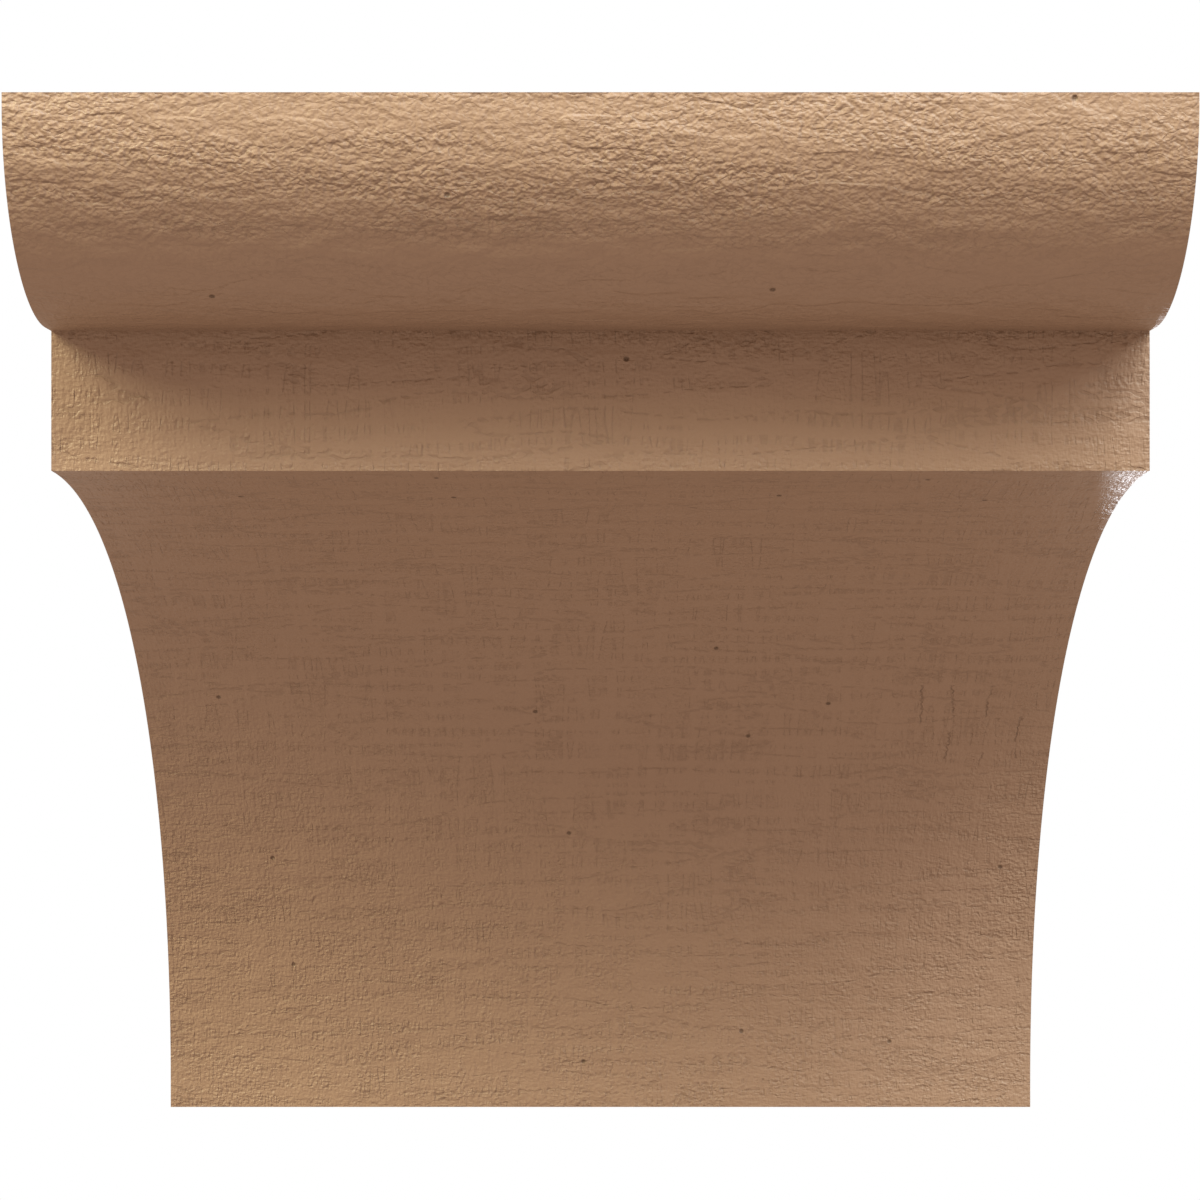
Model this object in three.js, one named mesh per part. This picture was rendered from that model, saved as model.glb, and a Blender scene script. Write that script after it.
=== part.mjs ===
// A mantel corbel: one solid moulding with the same side profile along its whole width.
// Read from the top down, the front has a bold quarter-round roll, a short level soffit under it, a
// flat fillet, and a long cove that sweeps back to a short upright foot. The sides, top, underside
// and back are flat.
//
// Millimetres, +Z up, front towards -Y. The origin is the centre of the flat back, which goes
// against the wall.

import * as THREE from 'three';

// Overall size
const width = 152.4;
const height = 152.4;
const depth = 152.4;

// Side profile, from the top down
const topBand = 1.4; // upright strip above the roll
const rollRadius = 25.4; // quarter round
const soffitDepth = 3.8; // level underside, from the roll back to the fillet
const filletHeight = 19.4;
const footHeight = 3.9; // upright strip below the cove
const footDepth = 25.4; // the foot's thickness, from the wall

// How finely the round stretches are cut
const rollSteps = 18;
const coveSteps = 36;

const primedTan = new THREE.MeshStandardMaterial({
  name: 'tan primer',
  color: '#a37d60',
  roughness: 0.5,
  metalness: 0,
});

// Points of a round stretch from one angle to another, without its first point.
// An angle of 0 is towards the wall (+Y), and a quarter turn is up (+Z).
function arcPoints(centre, radius, fromAngle, toAngle, steps) {
  const points = [];
  for (let step = 1; step <= steps; step += 1) {
    const angle = THREE.MathUtils.lerp(fromAngle, toAngle, step / steps);
    const y = centre.x + radius * Math.cos(angle);
    const z = centre.y + radius * Math.sin(angle);
    points.push(new THREE.Vector2(y, z));
  }
  return points;
}

// The closed side profile, as points whose x is the part's Y and whose y is the part's Z.
function sideProfile() {
  const top = height / 2;
  const bottom = -height / 2;
  const wall = 0;
  const front = wall - depth;

  const rollCentre = new THREE.Vector2(front + rollRadius, top - topBand);
  const soffit = rollCentre.y - rollRadius;
  const filletFace = front + rollRadius + soffitDepth;
  const filletFoot = soffit - filletHeight;

  // The cove is one arc. It starts at the fillet's lower edge and ends upright at the foot, so its
  // centre is level with the top of the foot, and its radius follows from the way it has to go.
  const footFace = wall - footDepth;
  const footTop = bottom + footHeight;
  const coveDepth = footFace - filletFace;
  const coveDrop = filletFoot - footTop;
  const coveRadius = (coveDepth ** 2 + coveDrop ** 2) / (2 * coveDepth);
  const coveCentre = new THREE.Vector2(footFace - coveRadius, footTop);
  const coveStart = Math.atan2(coveDrop, filletFace - coveCentre.x);

  return [
    new THREE.Vector2(wall, top),
    new THREE.Vector2(front, top),
    new THREE.Vector2(front, rollCentre.y),
    ...arcPoints(rollCentre, rollRadius, Math.PI, Math.PI * 1.5, rollSteps),
    new THREE.Vector2(filletFace, soffit),
    new THREE.Vector2(filletFace, filletFoot),
    ...arcPoints(coveCentre, coveRadius, coveStart, 0, coveSteps),
    new THREE.Vector2(footFace, bottom),
    new THREE.Vector2(wall, bottom),
  ];
}

// The profile drawn along the width. The extrusion runs along the shape's own Z, so the basis below
// lays the shape's X, Y and Z along the part's Y, Z and X, and centres the width on the origin.
function corbelGeometry() {
  const shape = new THREE.Shape(sideProfile());
  const geometry = new THREE.ExtrudeGeometry(shape, { depth: width, bevelEnabled: false });
  const basis = new THREE.Matrix4().makeBasis(
    new THREE.Vector3(0, 1, 0),
    new THREE.Vector3(0, 0, 1),
    new THREE.Vector3(1, 0, 0),
  );
  geometry.applyMatrix4(basis);
  geometry.translate(-width / 2, 0, 0);
  return geometry;
}

const corbel = new THREE.Mesh(corbelGeometry(), primedTan);
corbel.name = 'corbel';

const part = new THREE.Group();
part.add(corbel);

export default part;
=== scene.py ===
"""A square mantel corbel in moulded polyurethane foam, with a rough-sawn face under a tan primer.

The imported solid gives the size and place. The moulding is modelled again on its profile as a fine
sheet, so that the grain of the sawn board it was moulded from can be carved into it.
"""

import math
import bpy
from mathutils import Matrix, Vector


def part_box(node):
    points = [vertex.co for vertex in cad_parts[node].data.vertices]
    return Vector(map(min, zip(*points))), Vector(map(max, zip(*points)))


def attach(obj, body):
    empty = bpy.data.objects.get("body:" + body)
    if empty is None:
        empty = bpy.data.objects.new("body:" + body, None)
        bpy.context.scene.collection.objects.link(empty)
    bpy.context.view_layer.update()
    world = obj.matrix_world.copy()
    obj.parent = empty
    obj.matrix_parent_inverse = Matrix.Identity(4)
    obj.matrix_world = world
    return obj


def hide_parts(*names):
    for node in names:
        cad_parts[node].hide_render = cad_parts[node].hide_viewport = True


bl_info = {
    "name": "Rough-sawn corbel",
    "version": (1, 0, 0),
    "blender": (4, 5, 0),
    "location": "View3D > Sidebar > Corbel",
    "description": "Models a moulded corbel over its packed solid and sets a plain studio round it",
    "category": "Add Mesh",
}

from collections import namedtuple

import bpy
from bpy.props import FloatProperty, FloatVectorProperty, PointerProperty
from bpy.types import Operator, Panel, PropertyGroup
from mathutils import Vector

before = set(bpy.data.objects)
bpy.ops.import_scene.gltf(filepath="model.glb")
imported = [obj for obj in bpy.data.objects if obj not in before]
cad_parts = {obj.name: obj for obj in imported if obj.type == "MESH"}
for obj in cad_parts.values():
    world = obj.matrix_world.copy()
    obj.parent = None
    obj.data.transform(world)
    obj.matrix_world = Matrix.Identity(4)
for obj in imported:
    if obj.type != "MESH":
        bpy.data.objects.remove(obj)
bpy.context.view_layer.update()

MM = 0.001

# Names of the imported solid, of the piece over it, and of what its mesh carries
NODE = "corbel"
PIECE = "corbel_moulding"
BODY = "root"
GRAIN_MAP = "grain"
RELIEF_GROUP = "relief"

# A face looks along an axis when its normal has this much of it, and an arris turns at least so far
SQUARE_ON = 0.9
ARRIS_TURN = math.radians(30)

# Places down the front, as the grain map has them: minus the way down the surface from the top edge
ROLL_MIDDLE = -21.5 * MM
ROLL_REACH = 21.5 * MM
ROLL_TOP = (-8.5 * MM, -3.5 * MM)
ROLL_UNDERSIDE = (-22.5 * MM, -16.5 * MM)
FOOT_TO_COVE = (-185.0 * MM, -90.0 * MM)

# The patch of deeper saw strokes: its middle and reach, the strokes' steps and half widths, and how
# far they bend and crumble
CHATTER_X = 61.9 * MM
CHATTER_DOWN = -150.0 * MM
CHATTER_HALF_WIDTH = 9.6 * MM
CHATTER_HALF_HEIGHT = 8.2 * MM
CHATTER_STEP = 5.6 * MM
CHATTER_STROKE = 0.26 * MM
CHATTER_WOBBLE = {"stroke bend": 2.4 * MM, "stroke crumble": 0.7 * MM}

# One pinhole to a square of this side, and the radii of its bottom and its rim
PINHOLE_SPACING = 38.0 * MM
PINHOLE_RADII = (0.114 * MM, 0.494 * MM)

# The weave's height against that of the round wrinkles
WEAVE_SHARE = 0.75

# Kinds of noise in the grain: how long their lumps are along and across it, in millimetres, where in
# the noise they are taken from, and how much finer noise lies on them. The place that they are taken
# from is so many times as far on across the grain as along it
Lumps = namedtuple("Lumps", "along across start detail roughness", defaults=(1.0, 0.5))
START_ACROSS = 2.3
BROAD_NOISES = {
    "swell": Lumps(60.0, 9.0, 7.7),
    "lump": Lumps(4.5, 2.1, 5.2, detail=0.0),
    "stroke": Lumps(4.2, 45.0, 1.9),
}
FINE_NOISES = {
    "bands": Lumps(26.0, 4.5, 3.1, detail=0.0),
    "rows": Lumps(20.0, 1.7, 6.6),
    "columns": Lumps(2.1, 19.0, 9.2),
    "round wrinkles": Lumps(0.92, 0.80, 4.4),
    "weave along": Lumps(1.00, 0.48, 4.4),
    "weave across": Lumps(0.48, 1.00, 6.1),
    "folds": Lumps(2.1, 1.1, 8.8),
    "ledges": Lumps(15.0, 4.5, 1.3, roughness=0.6),
    "saw": Lumps(0.7, 9.0, 2.2),
    "tears": Lumps(32.0, 5.5, 12.3),
    "crumbs": Lumps(1.4, 0.7, 3.7, detail=0.0),
    "stroke bend": Lumps(9.0, 12.0, 5.9, detail=0.0),
    "stroke crumble": Lumps(0.9, 0.7, 1.7, detail=0.0),
    "stroke breaks": Lumps(1.8, 8.0, 2.9, detail=0.0),
}

# The camera's lens and sensor are in millimetres, and its shifts are shares of the sensor
SENSOR_WIDTH = 36.0
LENS = 76.05
SHIFT_ACROSS = -0.0004
SHIFT_UP = 0.035

LAMP_DISTANCE = 1300.0 * MM
FLOOR_RADIUS = 2600.0 * MM
FLOOR_SIDES = 96

# The solid's box gives the overall sizes
solid_low, solid_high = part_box(NODE)
solid_size = solid_high - solid_low


def linear(hex_colour):
    """Linear red, green and blue of an sRGB hex colour."""
    channels = [int(hex_colour[start : start + 2], 16) / 255 for start in (1, 3, 5)]
    return [c / 12.92 if c <= 0.04045 else ((c + 0.055) / 1.055) ** 2.4 for c in channels]


def length_setting(name, description, default):
    """A length in metres that the sidebar shows in the scene's unit."""
    return FloatProperty(
        name=name,
        description=description,
        default=default,
        min=0.0,
        precision=5,
        unit="LENGTH",
        subtype="DISTANCE",
    )


def number_setting(name, description, default):
    """A plain number from 0 up."""
    return FloatProperty(name=name, description=description, default=default, min=0.0)


def colour_setting(name, description, hex_colour):
    """A colour that the sidebar shows as a swatch."""
    return FloatVectorProperty(
        name=name,
        description=description,
        default=linear(hex_colour),
        size=3,
        min=0.0,
        max=1.0,
        subtype="COLOR",
    )


class CorbelForm(PropertyGroup):
    """Sizes of the side profile, from the top down, and of the sheet it is modelled as."""

    width: length_setting("Width", "Width across the front", solid_size.x)
    height: length_setting("Height", "Height from foot to top", solid_size.z)
    depth: length_setting("Depth", "Depth from the wall to the front of the roll", solid_size.y)
    top_band: length_setting("Top band", "Upright strip above the roll", 1.4 * MM)
    roll_radius: length_setting("Roll radius", "Radius of the quarter-round roll", 25.4 * MM)
    soffit_depth: length_setting("Soffit depth", "Level strip under the roll", 3.8 * MM)
    fillet_height: length_setting("Fillet height", "Height of the flat fillet", 19.4 * MM)
    foot_height: length_setting("Foot height", "Upright strip below the cove", 3.9 * MM)
    foot_depth: length_setting("Foot depth", "Thickness of the foot from the wall", 25.4 * MM)
    row_spacing: length_setting("Row spacing", "Between the sheet's rows down the front", 0.7 * MM)
    column_spacing: length_setting("Column spacing", "Between its columns across", 0.95 * MM)
    side_spacing: length_setting("Side spacing", "Widest column on the sides", 3.8 * MM)


class CorbelGrain(PropertyGroup):
    """Heights of the rough-sawn grain, from the slowest swell to the pinholes."""

    swell_depth: length_setting("Swell depth", "Slow swell of the sawn face", 0.22 * MM)
    lump_depth: length_setting("Lump depth", "Broad lumps of the torn grain", 0.25 * MM)
    stroke_depth: length_setting("Stroke depth", "Broad saw strokes across the grain", 0.08 * MM)
    ledge_depth: length_setting("Ledge depth", "Low ledges, most of all on the roll", 0.10 * MM)
    wrinkle_depth: length_setting("Wrinkle depth", "Wrinkles on the roll, weave elsewhere", 0.38 * MM)
    fold_depth: length_setting("Fold depth", "Thin dark folds among the wrinkles", 0.04 * MM)
    saw_depth: length_setting("Saw depth", "Fine saw marks across the grain", 0.06 * MM)
    scratch_depth: length_setting("Scratch depth", "Thin scratches among the saw marks", 0.06 * MM)
    tear_depth: length_setting("Tear depth", "Crumbled rows along the grain", 0.07 * MM)
    chatter_depth: length_setting("Chatter depth", "The patch of deeper saw strokes", 0.12 * MM)
    pinhole_depth: length_setting("Pinhole depth", "Scattered pinholes", 0.30 * MM)


class CorbelFinish(PropertyGroup):
    """Colour and sheen of the primer, and the colour of the painted shade in its creases and
    pinholes.
    """

    primer: colour_setting("Primer", "Tan primer where it lies evenly", "#9a7f6b")
    # Painted shade: the primer's colour darkened where creases, strokes and pinholes would lie in
    # shade
    painted_shade: colour_setting("Hollow", "The same primer deep in a crease or pinhole", "#6a5342")
    roughness: number_setting("Roughness", "Roughness of the satin primer", 0.5)
    ior: number_setting("IOR", "Index of refraction of the primer's acrylic binder", 1.46)


class CorbelStudio(PropertyGroup):
    """Places of the camera and floor, and the colours and levels of the light."""

    camera_distance: length_setting("Camera distance", "From the roll to the camera", 322.5 * MM)
    camera_height: length_setting("Camera height", "Over the corbel's middle", 6.25 * MM)
    floor_drop: length_setting("Floor drop", "From the corbel's middle down to the floor", 700.0 * MM)
    floor: colour_setting("Floor", "Matt grey paint on the floor", "#7c7c7c")
    floor_glow: number_setting("Floor glow", "Light of its own, so that it looks white", 0.72)
    room: colour_setting("Room", "Colour of the even light from the room, a little warm", "#ffe5d0")
    ambient: number_setting("Ambient light", "Strength of the even light from the room", 0.69)
    lamps: colour_setting("Lamps", "Colour of the key lamp and the one on the right", "#f6fdf6")
    warm: colour_setting("Warm lamps", "Colour of the two lamps on the left", "#f9f7d0")
    sky: colour_setting("Sky lamp", "Colour of the lamp above, blue as the sky", "#b4d6ff")
    rim: colour_setting("Rim lamp", "Colour of the lamp behind, a cool white", "#f4f8ff")


def deselect_everything():
    """Deselects everything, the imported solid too, in object mode."""
    if bpy.context.mode != "OBJECT":
        bpy.ops.object.mode_set(mode="OBJECT")
    bpy.ops.object.select_all(action="DESELECT")


def shrink_to_a_point():
    """Turns what is selected into one vertex at its middle, as the start of an outline."""
    bpy.ops.mesh.merge(type="CENTER")


def draw_straight(step, count):
    """Draws an outline on from the selected vertex, by the same step each time."""
    for _ in range(count):
        bpy.ops.mesh.extrude_vertices_move(TRANSFORM_OT_translate={"value": step})


def rows_in(length, spacing):
    """How many rows of about the given spacing fit a length."""
    return max(1, round(length / spacing))


def profile_facts(form):
    """Places on the side profile, in metres: levels are heights, and faces are places along Y.

    Two places count as one when they are closer than a quarter of a row.
    """
    facts = {"top": form.height / 2, "bottom": -form.height / 2, "wall": 0.0, "front": -form.depth}
    facts["roll_level"] = facts["top"] - form.top_band
    facts["roll_face"] = facts["front"] + form.roll_radius
    facts["soffit"] = facts["roll_level"] - form.roll_radius
    facts["fillet_face"] = facts["roll_face"] + form.soffit_depth
    facts["fillet_foot"] = facts["soffit"] - form.fillet_height
    facts["foot_face"] = facts["wall"] - form.foot_depth
    facts["foot_top"] = facts["bottom"] + form.foot_height
    run = facts["foot_face"] - facts["fillet_face"]
    drop = facts["fillet_foot"] - facts["foot_top"]
    facts["cove_radius"] = (run**2 + drop**2) / (2 * run)
    facts["cove_middle"] = facts["foot_face"] - facts["cove_radius"]
    facts["cove_angle"] = math.atan2(drop, facts["fillet_face"] - facts["cove_middle"])
    facts["close"] = form.row_spacing / 4
    return facts


def draw_profile(form, facts):
    """Draws the side profile's front from the top down, and its wall side to match, row for row."""
    side = -form.width / 2
    rows = {
        "band": rows_in(form.top_band, form.row_spacing),
        "roll": rows_in(form.roll_radius * math.pi / 2, form.row_spacing),
        "soffit": rows_in(form.soffit_depth, form.row_spacing),
        "fillet": rows_in(form.fillet_height, form.row_spacing),
        "cove": rows_in(facts["cove_radius"] * facts["cove_angle"], form.row_spacing),
        "foot": rows_in(form.foot_height, form.row_spacing),
    }
    bpy.ops.mesh.primitive_plane_add(size=MM, location=(side, facts["front"], facts["top"]))
    bpy.ops.object.transform_apply(location=True)
    bpy.ops.object.mode_set(mode="EDIT")
    bpy.ops.mesh.select_mode(type="VERT")
    shrink_to_a_point()
    draw_straight((0, 0, -form.top_band / rows["band"]), rows["band"])
    bpy.ops.mesh.spin(
        steps=rows["roll"],
        angle=-math.pi / 2,
        center=(side, facts["roll_face"], facts["roll_level"]),
        axis=(1, 0, 0),
    )
    draw_straight((0, form.soffit_depth / rows["soffit"], 0), rows["soffit"])
    draw_straight((0, 0, -form.fillet_height / rows["fillet"]), rows["fillet"])
    bpy.ops.mesh.spin(
        steps=rows["cove"],
        angle=facts["cove_angle"],
        center=(side, facts["cove_middle"], facts["foot_top"]),
        axis=(1, 0, 0),
    )
    draw_straight((0, 0, -form.foot_height / rows["foot"]), rows["foot"])

    # The wall side has as many rows. Those of the roll, soffit and fillet end higher than in front,
    # by a share of the roll or fillet, so that no row across the side leaves the solid
    levels = [
        ("band", facts["roll_level"]),
        ("roll", facts["soffit"] + 0.45 * form.roll_radius),
        ("soffit", facts["soffit"] + 0.35 * form.roll_radius),
        ("fillet", facts["fillet_foot"] + 0.5 * form.fillet_height),
        ("cove", facts["foot_top"]),
        ("foot", facts["bottom"]),
    ]
    bpy.ops.mesh.primitive_plane_add(size=MM, location=(side, facts["wall"], facts["top"]))
    shrink_to_a_point()
    level = facts["top"]
    for stretch, end in levels:
        draw_straight((0, 0, (end - level) / rows[stretch]), rows[stretch])
        level = end


def select_where(mesh, mode, wanted):
    """Selects the edges or faces for which wanted(edge or face) is true, and nothing else."""
    bpy.ops.mesh.select_mode(type=mode)
    bpy.ops.mesh.select_all(action="DESELECT")
    bpy.ops.object.mode_set(mode="OBJECT")
    for element in mesh.edges if mode == "EDGE" else mesh.polygons:
        element.select = wanted(element)
    bpy.ops.object.mode_set(mode="EDIT")


def model_moulding(form, facts):
    """Models the plain moulding: a fine grid on every face that shows, and one flat wall face."""
    deselect_everything()
    draw_profile(form, facts)
    moulding = bpy.context.object
    mesh = moulding.data
    wall, close = facts["wall"], facts["close"]

    # One side, then the whole width
    side_columns = rows_in(form.depth, form.side_spacing)
    bpy.ops.mesh.select_all(action="SELECT")
    bpy.ops.mesh.bridge_edge_loops(number_cuts=side_columns - 1, interpolation="LINEAR")
    bpy.ops.mesh.select_mode(type="FACE")
    bpy.ops.mesh.select_all(action="SELECT")
    bpy.ops.mesh.extrude_region_move(TRANSFORM_OT_translate={"value": (form.width, 0, 0)})

    def runs_across(edge):
        start, end = (mesh.vertices[index].co for index in edge.vertices)
        on_wall_face = abs(start.y - wall) < close and abs(start.z) < facts["top"] - close
        return abs(start.x - end.x) > close and not on_wall_face

    # The columns across the width, on all but the wall face. One go makes 101 of them at most, so
    # the width is cut in half first
    half_columns = rows_in(form.width / 2, form.column_spacing)
    for cuts in (1, half_columns - 1):
        select_where(mesh, "EDGE", runs_across)
        bpy.ops.mesh.subdivide(number_cuts=cuts)
    select_where(mesh, "FACE", lambda face: abs(face.center.y - wall) < close)
    bpy.ops.mesh.dissolve_faces()

    bpy.ops.mesh.select_all(action="SELECT")
    bpy.ops.mesh.remove_doubles(threshold=form.row_spacing / 20)
    bpy.ops.mesh.normals_make_consistent(inside=False)
    bpy.ops.object.mode_set(mode="OBJECT")
    bpy.ops.object.transform_apply(location=True, rotation=True, scale=True)
    return moulding


def down_the_front(place, facts, form):
    """Distance down the front from its top edge to a place on it, measured along the surface."""
    roll_length = form.roll_radius * math.pi / 2
    past_roll = form.top_band + roll_length
    past_soffit = past_roll + form.soffit_depth
    past_fillet = past_soffit + form.fillet_height
    past_cove = past_fillet + facts["cove_radius"] * facts["cove_angle"]
    if place.z > facts["roll_level"]:
        return facts["top"] - place.z
    if place.y < facts["roll_face"]:
        turned = math.atan2(facts["roll_level"] - place.z, facts["roll_face"] - place.y)
        return form.top_band + form.roll_radius * turned
    if place.y < facts["fillet_face"] and place.z > facts["soffit"] - facts["close"]:
        return past_roll + place.y - facts["roll_face"]
    if place.z > facts["fillet_foot"]:
        return past_soffit + facts["soffit"] - place.z
    if place.z > facts["foot_top"]:
        left = math.atan2(place.z - facts["foot_top"], place.y - facts["cove_middle"])
        return past_cove - facts["cove_radius"] * left
    return past_cove + facts["foot_top"] - place.z


def lay_grain_map(mesh, facts, form):
    """Lays a UV map in metres, with the grain along U on every face.

    The grain runs across the front, top, back and underside, and from front to wall on the sides.
    Each face has a stretch of its own along V, so that no two show the same grain.
    """
    grain_map = mesh.uv_layers.new(name=GRAIN_MAP)
    apart = form.height * 3
    for face in mesh.polygons:
        for loop_index in face.loop_indices:
            place = mesh.vertices[mesh.loops[loop_index].vertex_index].co
            if abs(face.normal.x) > SQUARE_ON:
                row = 1 if face.normal.x > 0 else 2
                spot = (place.y, place.z + row * apart)
            elif face.normal.z > SQUARE_ON:
                spot = (place.x, place.y - apart)
            elif face.normal.z < -SQUARE_ON and face.center.z < facts["bottom"] + facts["close"]:
                spot = (place.x, place.y - 2 * apart)
            elif face.normal.y > SQUARE_ON:
                spot = (place.x, place.z - 3 * apart)
            else:
                spot = (place.x, -down_the_front(place, facts, form))
            grain_map.data[loop_index].uv = spot


def mark_arrises(moulding):
    """Marks the arrises sharp, and puts the vertices off them in the group that takes the relief."""
    deselect_everything()
    moulding.select_set(True)
    bpy.context.view_layer.objects.active = moulding
    bpy.ops.object.mode_set(mode="EDIT")
    bpy.ops.mesh.select_mode(type="EDGE")
    bpy.ops.mesh.select_all(action="DESELECT")
    bpy.ops.mesh.edges_select_sharp(sharpness=ARRIS_TURN)
    bpy.ops.mesh.mark_sharp()
    bpy.ops.mesh.select_mode(type="VERT")
    bpy.ops.mesh.select_all(action="INVERT")
    bpy.ops.object.vertex_group_add()
    moulding.vertex_groups.active.name = RELIEF_GROUP
    bpy.ops.object.vertex_group_assign()
    bpy.ops.object.mode_set(mode="OBJECT")
    bpy.ops.object.shade_smooth(keep_sharp_edges=True)


def add_node(tree, kind, inputs=(), **settings):
    """Adds a node to a tree, with its settings and links.

    The inputs come in the node's own order, or each under its name or number. An input is a plain
    value, an output that feeds it, or a node whose first working output does.
    """
    node = tree.nodes.new(kind)
    for name, value in settings.items():
        setattr(node, name, value)
    for key, value in inputs.items() if isinstance(inputs, dict) else enumerate(inputs):
        if isinstance(value, bpy.types.Node):
            value = next(socket for socket in value.outputs if socket.enabled)
        if isinstance(value, bpy.types.NodeSocket):
            tree.links.new(value, node.inputs[key])
        else:
            node.inputs[key].default_value = value
    return node


def empty_tree(owner):
    """The node tree of a material or a world, with nothing in it."""
    owner.use_nodes = True
    owner.node_tree.nodes.clear()
    return owner.node_tree


def spread_noises(tree, place, kinds):
    """Spreads each kind of noise, from 0 to 1, over the grain map, and gives them by name."""
    noises = {}
    for name, lumps in kinds.items():
        scale = (1 / (lumps.along * MM), 1 / (lumps.across * MM), 0)
        start = (lumps.start, START_ACROSS * lumps.start, 0)
        spot = add_node(tree, "ShaderNodeVectorMath", (place, scale, start), operation="MULTIPLY_ADD")
        inputs = {"Vector": spot, "Scale": 1.0, "Detail": lumps.detail, "Roughness": lumps.roughness}
        noises[name] = add_node(tree, "ShaderNodeTexNoise", inputs, noise_dimensions="2D")
    return noises


def share_of(tree, *measures):
    """How much of a grain a spot has: the product of what several measures say.

    Each comes with the range it is taken from, low then high, and the shares it is taken to, which
    are 0 and 1 unless given. It goes smoothly from one share to the other and is held at both.
    """
    share, *others = (
        add_node(tree, "ShaderNodeMapRange", measure, interpolation_type="SMOOTHSTEP")
        for measure in measures
    )
    for other in others:
        share = add_node(tree, "ShaderNodeMath", (share, other), operation="MULTIPLY")
    return share


def creases(tree, noise, width):
    """Lines where noise passes its middle: 1 along each line, and 0 from the given width on."""
    off = add_node(tree, "ShaderNodeMath", (noise, 0.5), operation="SUBTRACT")
    off = add_node(tree, "ShaderNodeMath", (off,), operation="ABSOLUTE")
    return share_of(tree, (off, 0.0, width, 1.0, 0.0))


def broad_relief(tree, place, grain):
    """Height in metres of what the sheet is fine enough to carry, out and in by the same."""
    depths = {"swell": grain.swell_depth, "lump": grain.lump_depth, "stroke": grain.stroke_depth}
    height = -sum(depths.values()) / 2
    for name, noise in spread_noises(tree, place, BROAD_NOISES).items():
        inputs = (noise, depths[name], height)
        height = add_node(tree, "ShaderNodeMath", inputs, operation="MULTIPLY_ADD")
    return height


def carve_relief(moulding, grain):
    """Carves the broad relief into the mesh, and leaves the arrises in place."""
    tree = bpy.data.node_groups.new("Broad relief", "GeometryNodeTree")
    for direction in ("INPUT", "OUTPUT"):
        tree.interface.new_socket("Geometry", in_out=direction, socket_type="NodeSocketGeometry")
    entry = add_node(tree, "NodeGroupInput")
    attributes = ((GRAIN_MAP, "FLOAT_VECTOR"), (RELIEF_GROUP, "FLOAT"))
    place, group = (
        add_node(tree, "GeometryNodeInputNamedAttribute", {"Name": name}, data_type=kind)
        for name, kind in attributes
    )

    # The relief dies out over the last few rows and columns before an arris
    soft = add_node(tree, "GeometryNodeBlurAttribute", {0: group, "Iterations": 2}, data_type="FLOAT")
    height = broad_relief(tree, place, grain)
    for share in (group, soft):
        height = add_node(tree, "ShaderNodeMath", (height, share), operation="MULTIPLY")
    normal = add_node(tree, "GeometryNodeInputNormal")
    offset = add_node(tree, "ShaderNodeVectorMath", {0: normal, "Scale": height}, operation="SCALE")
    carved = add_node(tree, "GeometryNodeSetPosition", {"Geometry": entry, "Offset": offset})
    add_node(tree, "NodeGroupOutput", (carved,))

    modifier = moulding.modifiers.new("Broad relief", "NODES")
    modifier.node_group = tree
    bpy.ops.object.modifier_apply(modifier=modifier.name)
    bpy.data.node_groups.remove(tree)


def chatter_strokes(tree, noises, along, down):
    """The saw's deeper strokes near the right side, at even steps, and the patch that holds them."""
    # Each noise is from 0 to 1, so half of its wobble comes off to keep the strokes in their places
    middle = CHATTER_X + sum(CHATTER_WOBBLE.values()) / 2
    past = add_node(tree, "ShaderNodeMath", (along, middle), operation="SUBTRACT")
    for name, wobble in CHATTER_WOBBLE.items():
        inputs = (noises[name], wobble, past)
        past = add_node(tree, "ShaderNodeMath", inputs, operation="MULTIPLY_ADD")
    furthest = CHATTER_STEP / 2
    beat = add_node(tree, "ShaderNodeMath", (past, furthest), operation="PINGPONG")
    strokes = share_of(
        tree, (beat, furthest - CHATTER_STROKE, furthest), (noises["stroke breaks"], 0.34, 0.52)
    )
    limits = ((along, CHATTER_X, CHATTER_HALF_WIDTH), (down, CHATTER_DOWN, CHATTER_HALF_HEIGHT))
    patch = (add_node(tree, "ShaderNodeMath", limit, operation="COMPARE") for limit in limits)
    return (strokes, *patch)


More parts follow.
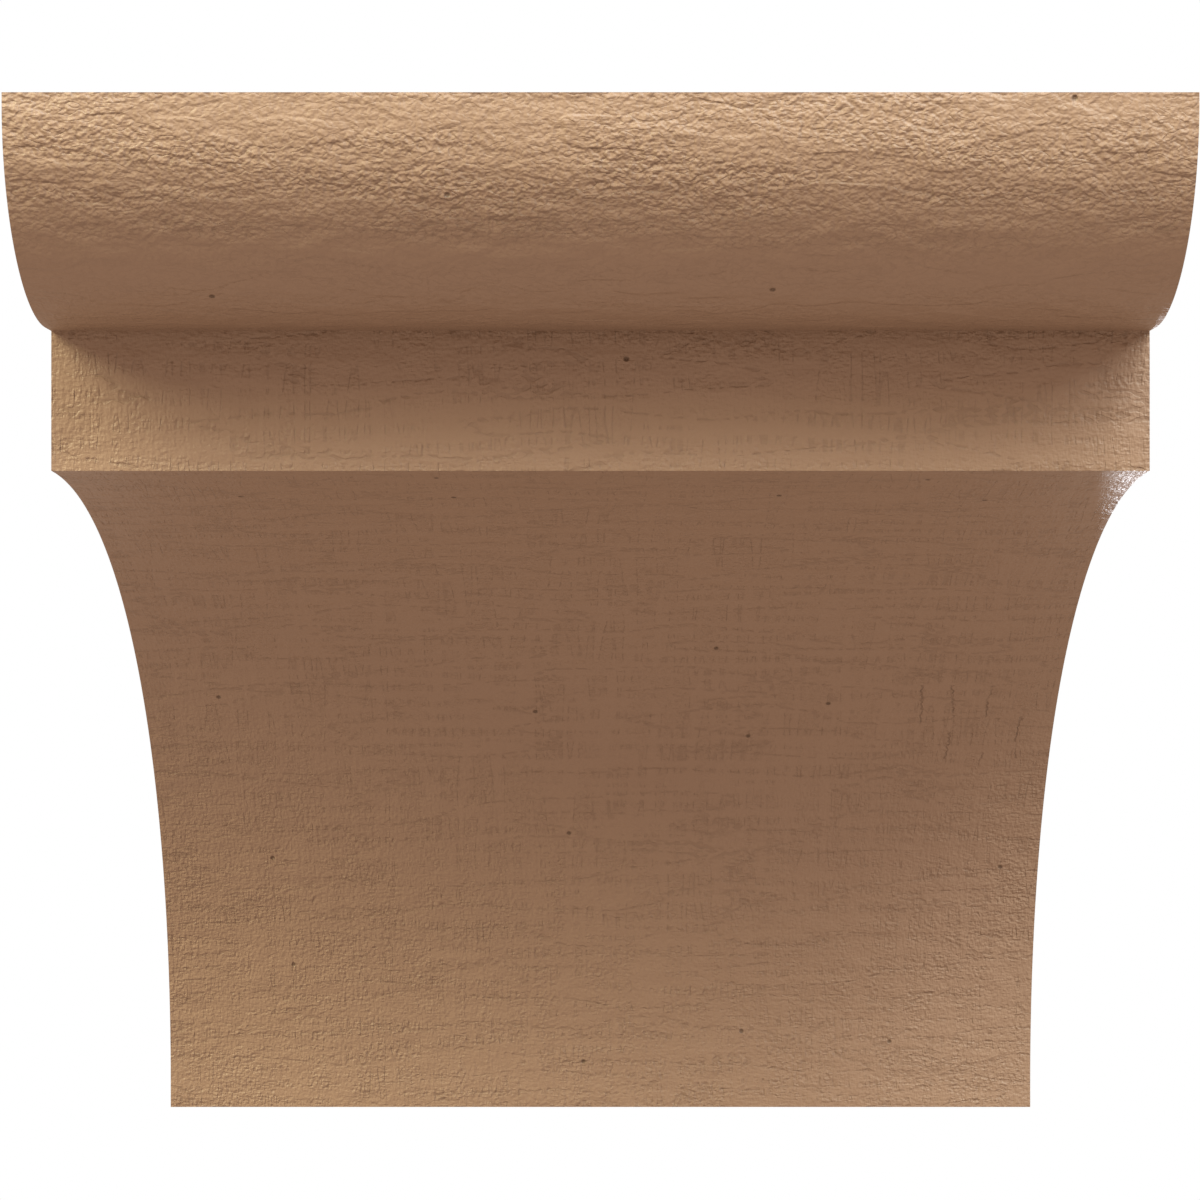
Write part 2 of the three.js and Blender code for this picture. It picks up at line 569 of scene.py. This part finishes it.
def fine_relief(tree, place, grain):
    """Height in metres of the grain too fine for the sheet, and how much painted shade darkens its
    creases and pinholes, 0 to 1.
    """
    spot = add_node(tree, "ShaderNodeSeparateXYZ", (place,))
    along, down = spot.outputs["X"], spot.outputs["Y"]
    noises = spread_noises(tree, place, FINE_NOISES)

    # The roll is torn all over, in bands: most of all below its top edge, and least underneath
    bands = share_of(
        tree,
        (noises["bands"], 0.33, 0.63, 0.58, 0.96),
        (down, *ROLL_UNDERSIDE, 0.5, 1.2),
        (down, *ROLL_TOP, 1.0, 0.80),
    )

    # Elsewhere the tears gather in thin rows and columns, and grow towards the foot
    crossing = add_node(tree, "ShaderNodeMath", (noises["rows"], noises["columns"]), operation="ADD")
    net = share_of(tree, (crossing, 0.82, 1.26, 0.42, 0.88), (down, *FOOT_TO_COVE, 1.06, 0.72))

    # The roll's wrinkles are large and round. Those elsewhere are fine, and cross like a weave
    round_wrinkles = add_node(
        tree, "ShaderNodeMath", (noises["round wrinkles"], 0.5), operation="SUBTRACT"
    )
    threads = (noises["weave along"], noises["weave across"])
    weave = add_node(tree, "ShaderNodeMath", threads, operation="ADD")
    inputs = (weave, WEAVE_SHARE, -WEAVE_SHARE)
    weave = add_node(tree, "ShaderNodeMath", inputs, operation="MULTIPLY_ADD")

    # The sawn lines are fainter on the roll, and the torn ledges and folds fainter off it
    roll = (down, ROLL_MIDDLE, ROLL_REACH)
    on_roll = add_node(tree, "ShaderNodeMath", roll, operation="COMPARE")
    torn, wrinkles, sawn, rough = (
        add_node(tree, "ShaderNodeMix", {0: on_roll, 2: elsewhere, 3: there})
        for elsewhere, there in ((net, bands), (weave, round_wrinkles), (1.0, 0.25), (0.15, 1.0))
    )

    # What the saw and the tearing left, each as a share of its full height
    folds = creases(tree, noises["folds"], 0.09)
    ledges = share_of(tree, (noises["ledges"], 0.46, 0.54))
    scratches = creases(tree, noises["columns"], 0.04)
    in_rows = share_of(tree, (noises["rows"], 0.42, 0.60))
    tears = creases(tree, noises["tears"], 0.05)
    crumbs = share_of(tree, (noises["crumbs"], 0.44, 0.58))
    strokes = chatter_strokes(tree, noises, along, down)
    cells = {"Vector": place, "Scale": 1 / PINHOLE_SPACING}
    centres = add_node(tree, "ShaderNodeTexVoronoi", cells, voronoi_dimensions="2D")
    bottom, rim = (radius / PINHOLE_SPACING for radius in PINHOLE_RADII)
    pinholes = share_of(tree, (centres, bottom, rim, 1.0, 0.0))

    # Each grain's shape, as what it is the product of, how far it stands out and how much painted
    # shade darkens it
    reliefs = (
        ((wrinkles, torn), grain.wrinkle_depth, 0.0),
        ((folds, torn, rough), -grain.fold_depth, 0.28),
        ((ledges, rough), grain.ledge_depth, 0.0),
        ((noises["saw"], sawn), grain.saw_depth, 0.0),
        ((scratches, in_rows, sawn), -grain.scratch_depth, 0.20),
        ((tears, crumbs, sawn), -grain.tear_depth, 0.22),
        (strokes, -grain.chatter_depth, 0.50),
        ((pinholes,), -grain.pinhole_depth, 1.0),
    )
    height, painted_shade = 0.0, 0.0
    for (shape, *factors), depth, painted_shade_weight in reliefs:
        for factor in factors:
            shape = add_node(tree, "ShaderNodeMath", (shape, factor), operation="MULTIPLY")
        height = add_node(tree, "ShaderNodeMath", (shape, depth, height), operation="MULTIPLY_ADD")
        # The deeper grains and the pinholes darken the colour as painted shade, the strongest of them
        # counting
        if painted_shade_weight:
            dark = add_node(tree, "ShaderNodeMath", (shape, painted_shade_weight), operation="MULTIPLY")
            painted_shade = add_node(tree, "ShaderNodeMath", (dark, painted_shade), operation="MAXIMUM")
    return height, painted_shade


def tan_primer(finish, grain):
    """Sprayed tan primer on moulded foam: a satin skin over the torn grain, with painted shade
    darkening its creases and pinholes.
    """
    material = bpy.data.materials.new("tan primer on moulded polyurethane")
    tree = empty_tree(material)
    place = add_node(tree, "ShaderNodeUVMap", uv_map=GRAIN_MAP)
    height, painted_shade = fine_relief(tree, place, grain)
    bump = add_node(tree, "ShaderNodeBump", {"Strength": 1.0, "Distance": 1.0, "Height": height})

    # Its inputs 0, 6 and 7 are the share of painted shade, the primer's colour and the painted
    # shade's colour
    colours = {0: painted_shade, 6: (*finish.primer, 1.0), 7: (*finish.painted_shade, 1.0)}
    colour = add_node(tree, "ShaderNodeMix", colours, data_type="RGBA")
    inputs = {
        "Base Color": colour,
        "Roughness": finish.roughness,
        "IOR": finish.ior,
        "Normal": bump,
    }
    shader = add_node(tree, "ShaderNodeBsdfPrincipled", inputs)
    add_node(tree, "ShaderNodeOutputMaterial", {"Surface": shader})
    return material


class CORBEL_OT_moulding(Operator):
    """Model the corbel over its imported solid, carve its grain and prime it"""

    bl_idname = "corbel.moulding"
    bl_label = "Corbel Moulding"

    def execute(self, context):
        scene = context.scene
        facts = profile_facts(scene.corbel_form)
        moulding = model_moulding(scene.corbel_form, facts)
        moulding.name = PIECE
        moulding.data.name = PIECE
        lay_grain_map(moulding.data, facts, scene.corbel_form)
        mark_arrises(moulding)
        carve_relief(moulding, scene.corbel_grain)
        moulding.data.materials.append(tan_primer(scene.corbel_finish, scene.corbel_grain))
        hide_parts(NODE)
        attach(moulding, BODY)
        return {"FINISHED"}


def set_camera(studio, form):
    """Puts the camera level in front of the corbel, a little above its middle."""
    camera = bpy.data.cameras.new("camera")
    camera.sensor_width = SENSOR_WIDTH
    camera.lens = LENS
    camera.shift_x = SHIFT_ACROSS
    camera.shift_y = SHIFT_UP
    holder = bpy.data.objects.new("camera", camera)
    holder.location = (0, -form.depth - studio.camera_distance, studio.camera_height)
    holder.rotation_euler = (math.pi / 2, 0, 0)
    bpy.context.scene.collection.objects.link(holder)
    bpy.context.scene.camera = holder


def hang_light(name, round_from_front, up, size, power, colour, lit):
    """Hangs a soft lamp a set way from the corbel, at an angle round it and an angle up.

    It lights only what is in the given collection.
    """
    light = bpy.data.lights.new(name, "AREA")
    light.shape = "SQUARE"
    light.size = size
    light.energy = power
    light.color = colour
    holder = bpy.data.objects.new(name, light)
    turn, rise = math.radians(round_from_front), math.radians(up)
    level = math.cos(rise)
    way = Vector((level * math.sin(turn), -level * math.cos(turn), math.sin(rise)))
    holder.location = Vector((0, -solid_size.y / 2, 0)) + LAMP_DISTANCE * way
    holder.rotation_euler = (-way).to_track_quat("-Z", "Y").to_euler()
    holder.visible_camera = False
    holder.light_linking.receiver_collection = lit
    bpy.context.scene.collection.objects.link(holder)


def light_the_room(studio):
    """White walls all round: pure white to the eye, and a softer even light on the corbel."""
    world = bpy.data.worlds.new("white room")
    bpy.context.scene.world = world
    tree = empty_tree(world)
    seen = add_node(tree, "ShaderNodeLightPath").outputs["Is Camera Ray"]
    shining, white = (
        add_node(tree, "ShaderNodeBackground", {"Color": colour, "Strength": strength})
        for colour, strength in (((*studio.room, 1.0), studio.ambient), ((1, 1, 1, 1), 1.0))
    )
    walls = add_node(tree, "ShaderNodeMixShader", (seen, shining, white))
    add_node(tree, "ShaderNodeOutputWorld", {"Surface": walls})


def lay_floor(studio):
    """Lays a floor far enough below for the corbel to be seen from underneath.

    No light comes back up from it to the corbel.
    """
    deselect_everything()
    below = (0, 0, -studio.floor_drop)
    bpy.ops.mesh.primitive_circle_add(
        vertices=FLOOR_SIDES, radius=FLOOR_RADIUS, fill_type="NGON", location=below
    )
    floor = bpy.context.object
    floor.name = "floor"
    floor.visible_diffuse = False
    floor.visible_glossy = False
    floor.data.materials.append(floor_paint(studio))


def floor_paint(studio):
    """Matt grey paint, rolled on: flat to the eye, and kept near white by a glow of its own."""
    material = bpy.data.materials.new("matt grey paint")
    tree = empty_tree(material)
    inputs = {
        "Base Color": (*studio.floor, 1.0),
        "Roughness": 0.9,
        "Emission Color": (1, 1, 1, 1),
        "Emission Strength": studio.floor_glow,
    }
    shader = add_node(tree, "ShaderNodeBsdfPrincipled", inputs)
    add_node(tree, "ShaderNodeOutputMaterial", {"Surface": shader})
    return material


class CORBEL_OT_stage(Operator):
    """Set the camera, the lights and the floor round the corbel"""

    bl_idname = "corbel.stage"
    bl_label = "Corbel Stage"

    def execute(self, context):
        studio, form = context.scene.corbel_studio, context.scene.corbel_form
        context.scene.view_settings.view_transform = "Standard"
        set_camera(studio, form)
        light_the_room(studio)
        lay_floor(studio)
        lit = bpy.data.collections.new("lit by the lamps")
        lit.objects.link(bpy.data.objects[PIECE])

        # Degrees round from the front and up, side in metres, power in watts and colour
        lamps = (
            ("key light", 30, 50, 0.45, 12.4, studio.lamps),
            ("top light", 0, 80, 0.45, 9.0, studio.sky),
            ("left light", -55, 32, 0.45, 12.5, studio.warm),
            ("high left light", -55, 50, 0.45, 8.8, studio.warm),
            ("right light", 55, 35, 0.45, 7.2, studio.lamps),
            ("back right light", 175, -19.5, 0.20, 16.5, studio.rim),
        )
        for lamp in lamps:
            hang_light(*lamp, lit)
        return {"FINISHED"}


class CORBEL_PT_sidebar(Panel):
    """Lists the corbel's sizes, colours and lights, and the steps that make it"""

    bl_label = "Corbel"
    bl_idname = "CORBEL_PT_sidebar"
    bl_space_type = "VIEW_3D"
    bl_region_type = "UI"
    bl_category = "Corbel"

    def draw(self, context):
        for group in GROUPS:
            settings = getattr(context.scene, group)
            box = self.layout.box()
            for name in settings.bl_rna.properties.keys():
                if name not in ("rna_type", "name"):
                    box.prop(settings, name)
        for operator in (CORBEL_OT_moulding, CORBEL_OT_stage):
            self.layout.operator(operator.bl_idname)


GROUPS = {
    "corbel_form": CorbelForm,
    "corbel_grain": CorbelGrain,
    "corbel_finish": CorbelFinish,
    "corbel_studio": CorbelStudio,
}
CLASSES = (*GROUPS.values(), CORBEL_OT_moulding, CORBEL_OT_stage, CORBEL_PT_sidebar)


def register():
    """Registers the settings, the operators and the sidebar."""
    for each in CLASSES:
        bpy.utils.register_class(each)
    for name, group in GROUPS.items():
        setattr(bpy.types.Scene, name, PointerProperty(type=group))


def unregister():
    """Takes them away again, last first."""
    for name in GROUPS:
        delattr(bpy.types.Scene, name)
    for each in reversed(CLASSES):
        bpy.utils.unregister_class(each)


def main():
    """Registers the add-on's classes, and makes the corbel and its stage."""
    register()
    bpy.ops.corbel.moulding()
    bpy.ops.corbel.stage()


if __name__ == "__main__":
    main()
